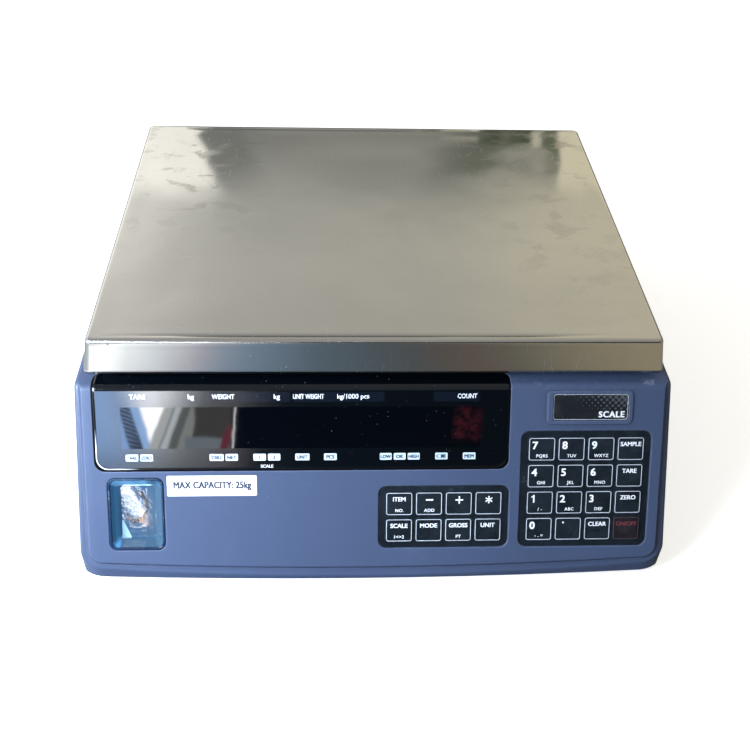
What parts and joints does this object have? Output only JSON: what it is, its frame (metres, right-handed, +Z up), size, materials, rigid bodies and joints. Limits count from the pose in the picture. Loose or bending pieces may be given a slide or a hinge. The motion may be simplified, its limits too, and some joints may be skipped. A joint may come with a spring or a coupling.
{
  "type": "bench counting scale",
  "caption": "Low bench counting scale: stainless weighing pan over a sloped plastic case with a wide dark display window, numeric and function keypads, level window and levelling feet.",
  "frame": {"origin": "on the table, under the middle of the scale's footprint", "axes": "+X to the operator's right, +Y to the back, +Z up; the operator stands on the -Y side"},
  "size_m": [0.355, 0.3248, 0.139],
  "materials": {
    "case_abs": "fine spark-eroded texture",
    "base_abs": "moulded",
    "stainless": "worn satin stainless",
    "alloy": "as cast",
    "cell_alloy": "machined",
    "zinc_steel": "bright zinc plate",
    "black_steel": "black oxide",
    "lens_acrylic": "smoked, polished",
    "clear_teal": "transparent tinted, polished",
    "vial_acrylic": "clear with tinted liquid",
    "keypad_film": "polyester film",
    "key_cap": "printed polyester over a hard cap",
    "plate_film": "printed aluminium foil under film",
    "label_paper": "printed vinyl label",
    "pcb": "solder mask",
    "display_glass": "vacuum fluorescent glass",
    "components": "moulded packages",
    "socket_plastic": "moulded",
    "port_shell": "tinned steel shell",
    "battery_case": "moulded",
    "cable_pvc": "smooth PVC",
    "rubber": "matt"
  },
  "bodies": {
    "root": {"upper_case": "case_abs", "lower_case": "base_abs", "case_screws": "zinc_steel", "chassis": "alloy", "load_cell": "cell_alloy", "load_cell_base_bolts": "black_steel", "overload_stops": "zinc_steel", "display_window": "lens_acrylic", "display_board": "pcb", "display_modules": "display_glass", "left_keypad_sheet": "keypad_film", "right_keypad_sheet": "keypad_film", "keypad_boards": "pcb", "name_plate": "plate_film", "level_window": "clear_teal", "level_vial": "vial_acrylic", "capacity_label": "label_paper", "main_board": "pcb", "board_components": "components", "dc_jack": "socket_plastic", "serial_port": "port_shell", "battery": "battery_case", "wiring": "cable_pvc"},
    "weigh_frame": {"sub_platter": "alloy", "sub_platter_bolts": "black_steel", "platter_cushions": "rubber"},
    "platter": {"platter": "stainless"},
    "battery_door": {"battery_door": "base_abs"},
    "foot_pad_front_left": {"foot_pad_front_left": "rubber"},
    "foot_screw_front_left": {"foot_screw_front_left": "base_abs"},
    "foot_pad_front_right": {"foot_pad_front_right": "rubber"},
    "foot_screw_front_right": {"foot_screw_front_right": "base_abs"},
    "foot_pad_rear_left": {"foot_pad_rear_left": "rubber"},
    "foot_screw_rear_left": {"foot_screw_rear_left": "base_abs"},
    "foot_pad_rear_right": {"foot_pad_rear_right": "rubber"},
    "foot_screw_rear_right": {"foot_screw_rear_right": "base_abs"},
    "key_7": {"key_7": "key_cap"},
    "key_8": {"key_8": "key_cap"},
    "key_9": {"key_9": "key_cap"},
    "key_sample": {"key_sample": "key_cap"},
    "key_4": {"key_4": "key_cap"},
    "key_5": {"key_5": "key_cap"},
    "key_6": {"key_6": "key_cap"},
    "key_tare": {"key_tare": "key_cap"},
    "key_1": {"key_1": "key_cap"},
    "key_2": {"key_2": "key_cap"},
    "key_3": {"key_3": "key_cap"},
    "key_zero": {"key_zero": "key_cap"},
    "key_0": {"key_0": "key_cap"},
    "key_point": {"key_point": "key_cap"},
    "key_clear": {"key_clear": "key_cap"},
    "key_power": {"key_power": "key_cap"},
    "key_item_code": {"key_item_code": "key_cap"},
    "key_minus": {"key_minus": "key_cap"},
    "key_plus": {"key_plus": "key_cap"},
    "key_star": {"key_star": "key_cap"},
    "key_platform": {"key_platform": "key_cap"},
    "key_mode": {"key_mode": "key_cap"},
    "key_net_gross": {"key_net_gross": "key_cap"},
    "key_unit_weight": {"key_unit_weight": "key_cap"}
  },
  "joints": [
    {"name": "key_7_press", "type": "slide", "parent": "root", "child": "key_7", "axis": [0, 0.8387, -0.5446], "range_m": [0, 0.0005], "stiffness_N_per_m": 1600, "springref_m": -0.0003},
    {"name": "key_8_press", "type": "slide", "parent": "root", "child": "key_8", "axis": [0, 0.8387, -0.5446], "range_m": [0, 0.0005], "stiffness_N_per_m": 1600, "springref_m": -0.0003},
    {"name": "key_9_press", "type": "slide", "parent": "root", "child": "key_9", "axis": [0, 0.8387, -0.5446], "range_m": [0, 0.0005], "stiffness_N_per_m": 1600, "springref_m": -0.0003},
    {"name": "key_sample_press", "type": "slide", "parent": "root", "child": "key_sample", "axis": [0, 0.8387, -0.5446], "range_m": [0, 0.0005], "stiffness_N_per_m": 1600, "springref_m": -0.0003},
    {"name": "key_4_press", "type": "slide", "parent": "root", "child": "key_4", "axis": [0, 0.8387, -0.5446], "range_m": [0, 0.0005], "stiffness_N_per_m": 1600, "springref_m": -0.0003},
    {"name": "key_5_press", "type": "slide", "parent": "root", "child": "key_5", "axis": [0, 0.8387, -0.5446], "range_m": [0, 0.0005], "stiffness_N_per_m": 1600, "springref_m": -0.0003},
    {"name": "key_6_press", "type": "slide", "parent": "root", "child": "key_6", "axis": [0, 0.8387, -0.5446], "range_m": [0, 0.0005], "stiffness_N_per_m": 1600, "springref_m": -0.0003},
    {"name": "key_tare_press", "type": "slide", "parent": "root", "child": "key_tare", "axis": [0, 0.8387, -0.5446], "range_m": [0, 0.0005], "stiffness_N_per_m": 1600, "springref_m": -0.0003},
    {"name": "key_1_press", "type": "slide", "parent": "root", "child": "key_1", "axis": [0, 0.8387, -0.5446], "range_m": [0, 0.0005], "stiffness_N_per_m": 1600, "springref_m": -0.0003},
    {"name": "key_2_press", "type": "slide", "parent": "root", "child": "key_2", "axis": [0, 0.8387, -0.5446], "range_m": [0, 0.0005], "stiffness_N_per_m": 1600, "springref_m": -0.0003},
    {"name": "key_3_press", "type": "slide", "parent": "root", "child": "key_3", "axis": [0, 0.8387, -0.5446], "range_m": [0, 0.0005], "stiffness_N_per_m": 1600, "springref_m": -0.0003},
    {"name": "key_zero_press", "type": "slide", "parent": "root", "child": "key_zero", "axis": [0, 0.8387, -0.5446], "range_m": [0, 0.0005], "stiffness_N_per_m": 1600, "springref_m": -0.0003},
    {"name": "key_0_press", "type": "slide", "parent": "root", "child": "key_0", "axis": [0, 0.8387, -0.5446], "range_m": [0, 0.0005], "stiffness_N_per_m": 1600, "springref_m": -0.0003},
    {"name": "key_point_press", "type": "slide", "parent": "root", "child": "key_point", "axis": [0, 0.8387, -0.5446], "range_m": [0, 0.0005], "stiffness_N_per_m": 1600, "springref_m": -0.0003},
    {"name": "key_clear_press", "type": "slide", "parent": "root", "child": "key_clear", "axis": [0, 0.8387, -0.5446], "range_m": [0, 0.0005], "stiffness_N_per_m": 1600, "springref_m": -0.0003},
    {"name": "key_power_press", "type": "slide", "parent": "root", "child": "key_power", "axis": [0, 0.8387, -0.5446], "range_m": [0, 0.0005], "stiffness_N_per_m": 1600, "springref_m": -0.0003},
    {"name": "key_item_code_press", "type": "slide", "parent": "root", "child": "key_item_code", "axis": [0, 0.8387, -0.5446], "range_m": [0, 0.0005], "stiffness_N_per_m": 1600, "springref_m": -0.0003},
    {"name": "key_minus_press", "type": "slide", "parent": "root", "child": "key_minus", "axis": [0, 0.8387, -0.5446], "range_m": [0, 0.0005], "stiffness_N_per_m": 1600, "springref_m": -0.0003},
    {"name": "key_plus_press", "type": "slide", "parent": "root", "child": "key_plus", "axis": [0, 0.8387, -0.5446], "range_m": [0, 0.0005], "stiffness_N_per_m": 1600, "springref_m": -0.0003},
    {"name": "key_star_press", "type": "slide", "parent": "root", "child": "key_star", "axis": [0, 0.8387, -0.5446], "range_m": [0, 0.0005], "stiffness_N_per_m": 1600, "springref_m": -0.0003},
    {"name": "key_platform_press", "type": "slide", "parent": "root", "child": "key_platform", "axis": [0, 0.8387, -0.5446], "range_m": [0, 0.0005], "stiffness_N_per_m": 1600, "springref_m": -0.0003},
    {"name": "key_mode_press", "type": "slide", "parent": "root", "child": "key_mode", "axis": [0, 0.8387, -0.5446], "range_m": [0, 0.0005], "stiffness_N_per_m": 1600, "springref_m": -0.0003},
    {"name": "key_net_gross_press", "type": "slide", "parent": "root", "child": "key_net_gross", "axis": [0, 0.8387, -0.5446], "range_m": [0, 0.0005], "stiffness_N_per_m": 1600, "springref_m": -0.0003},
    {"name": "key_unit_weight_press", "type": "slide", "parent": "root", "child": "key_unit_weight", "axis": [0, 0.8387, -0.5446], "range_m": [0, 0.0005], "stiffness_N_per_m": 1600, "springref_m": -0.0003},
    {"name": "weigh_deflection", "type": "slide", "parent": "root", "child": "weigh_frame", "axis": [0, 0, -1], "range_m": [0, 0.0004], "deforming": ["load_cell"]},
    {"name": "platter_lift", "type": "slide", "parent": "weigh_frame", "child": "platter", "axis": [0, 0, 1], "range_m": [0, 0.06]},
    {"name": "battery_door_swing", "type": "hinge", "parent": "root", "child": "battery_door", "pos_m": [-0.13, 0.0795, 0.0077], "axis": [1, 0, 0], "range_deg": [0, 100]},
    {"name": "foot_travel_front_left", "type": "slide", "parent": "root", "child": "foot_pad_front_left", "axis": [0, 0, -1], "range_m": [-0.0015, 0.006]},
    {"name": "foot_turn_front_left", "type": "hinge", "parent": "foot_pad_front_left", "child": "foot_screw_front_left", "pos_m": [-0.148, -0.098, 0.0047], "axis": [0, 0, -1], "range_deg": [-362, 1442]},
    {"name": "foot_travel_front_right", "type": "slide", "parent": "root", "child": "foot_pad_front_right", "axis": [0, 0, -1], "range_m": [-0.0015, 0.006]},
    {"name": "foot_turn_front_right", "type": "hinge", "parent": "foot_pad_front_right", "child": "foot_screw_front_right", "pos_m": [0.148, -0.098, 0.0047], "axis": [0, 0, -1], "range_deg": [-362, 1442]},
    {"name": "foot_travel_rear_left", "type": "slide", "parent": "root", "child": "foot_pad_rear_left", "axis": [0, 0, -1], "range_m": [-0.0015, 0.006]},
    {"name": "foot_turn_rear_left", "type": "hinge", "parent": "foot_pad_rear_left", "child": "foot_screw_rear_left", "pos_m": [-0.148, 0.138, 0.0047], "axis": [0, 0, -1], "range_deg": [-362, 1442]},
    {"name": "foot_travel_rear_right", "type": "slide", "parent": "root", "child": "foot_pad_rear_right", "axis": [0, 0, -1], "range_m": [-0.0015, 0.006]},
    {"name": "foot_turn_rear_right", "type": "hinge", "parent": "foot_pad_rear_right", "child": "foot_screw_rear_right", "pos_m": [0.148, 0.138, 0.0047], "axis": [0, 0, -1], "range_deg": [-362, 1442]}
  ],
  "couplings": [
    {"joint": "foot_turn_front_left", "follows": "foot_travel_front_left", "rad_per_m": 4188.8},
    {"joint": "foot_turn_front_right", "follows": "foot_travel_front_right", "rad_per_m": 4188.8},
    {"joint": "foot_turn_rear_left", "follows": "foot_travel_rear_left", "rad_per_m": 4188.8},
    {"joint": "foot_turn_rear_right", "follows": "foot_travel_rear_right", "rad_per_m": 4188.8}
  ]
}
